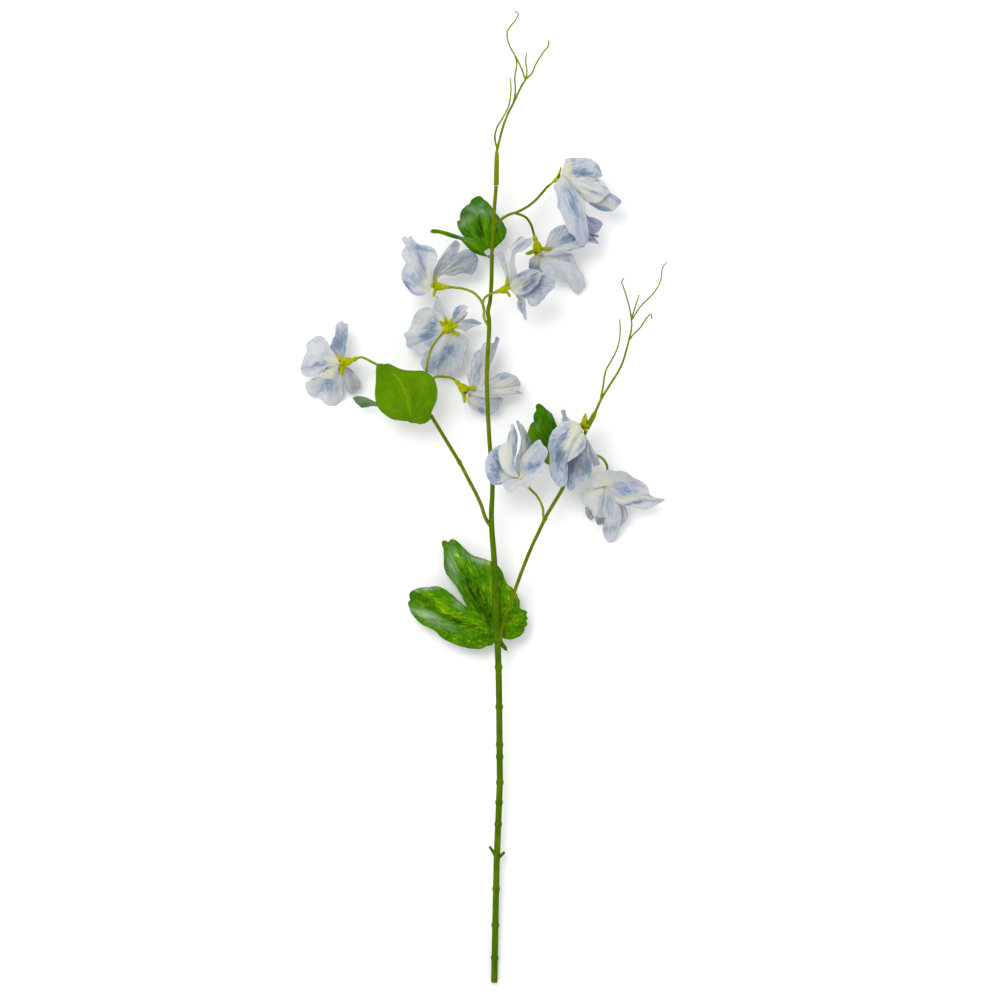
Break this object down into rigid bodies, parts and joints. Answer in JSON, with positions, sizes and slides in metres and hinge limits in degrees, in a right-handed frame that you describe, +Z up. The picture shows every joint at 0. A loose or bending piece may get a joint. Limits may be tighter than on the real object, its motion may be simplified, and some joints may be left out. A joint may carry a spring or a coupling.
{
  "type": "artificial sweet pea spray",
  "caption": "Artificial sweet pea spray with pale blue-lilac cloth blossoms, green leaves, curling tendrils and a ringed plastic stem, lying flat.",
  "frame": {"origin": "centre of the spray's bounding box, on the surface it lies on", "axes": "+Y along the spray from the cut foot to the tip, +Z up from the surface, the blossoms' faces up; +X to the right with the tip pointing away"},
  "size_m": [0.2742, 0.73, 0.0424],
  "materials": {
    "stem": "satin olive green",
    "tendril": "pale yellow-green",
    "calyx": "yellow-green",
    "banner": "printed cloth, pale blue",
    "wing": "printed cloth, blue and lilac",
    "keel": "cream cloth",
    "leaf_dark": "glossy dark green",
    "leaf_bright": "matte bright green",
    "leaf_grey": "grey-green underside"
  },
  "bodies": {
    "root": {"main_stem": "stem", "left_branch": "stem", "right_branch": "stem", "stalk_top": "stem", "stalk_middle": "stem", "stalk_left": "stem", "stalk_right_low": "stem", "stalk_right_stub": "stem", "stalk_right_high": "stem", "tendril_top": "tendril", "tendril_right": "tendril", "leaf_upper_right": "leaf_dark", "leaf_upper_left": "leaf_dark", "leaf_left_large": "leaf_bright", "leaf_left_small": "leaf_grey", "leaf_right_dark": "leaf_dark", "leaf_right_light": "leaf_grey", "leaf_lower": "leaf_dark", "blossom_01_calyx": "calyx", "blossom_01_banner": "banner", "blossom_01_wings": "wing", "blossom_01_keel": "keel", "blossom_02_calyx": "calyx", "blossom_02_banner": "banner", "blossom_02_wings": "wing", "blossom_02_keel": "keel", "blossom_03_calyx": "calyx", "blossom_03_banner": "banner", "blossom_03_wings": "wing", "blossom_03_keel": "keel", "blossom_04_calyx": "calyx", "blossom_04_banner": "banner", "blossom_04_wings": "wing", "blossom_05_calyx": "calyx", "blossom_05_banner": "banner", "blossom_05_wings": "wing", "blossom_05_keel": "keel", "blossom_06_calyx": "calyx", "blossom_06_banner": "banner", "blossom_06_wings": "wing", "blossom_06_keel": "keel", "blossom_07_calyx": "calyx", "blossom_07_banner": "banner", "blossom_07_wings": "wing", "blossom_07_keel": "keel", "blossom_08_calyx": "calyx", "blossom_08_banner": "banner", "blossom_08_wings": "wing", "blossom_08_keel": "keel", "blossom_09_calyx": "calyx", "blossom_09_banner": "banner", "blossom_09_wings": "wing", "blossom_09_keel": "keel", "blossom_10_calyx": "calyx", "blossom_10_banner": "banner", "blossom_10_wings": "wing", "blossom_10_keel": "keel"}
  },
  "joints": []
}
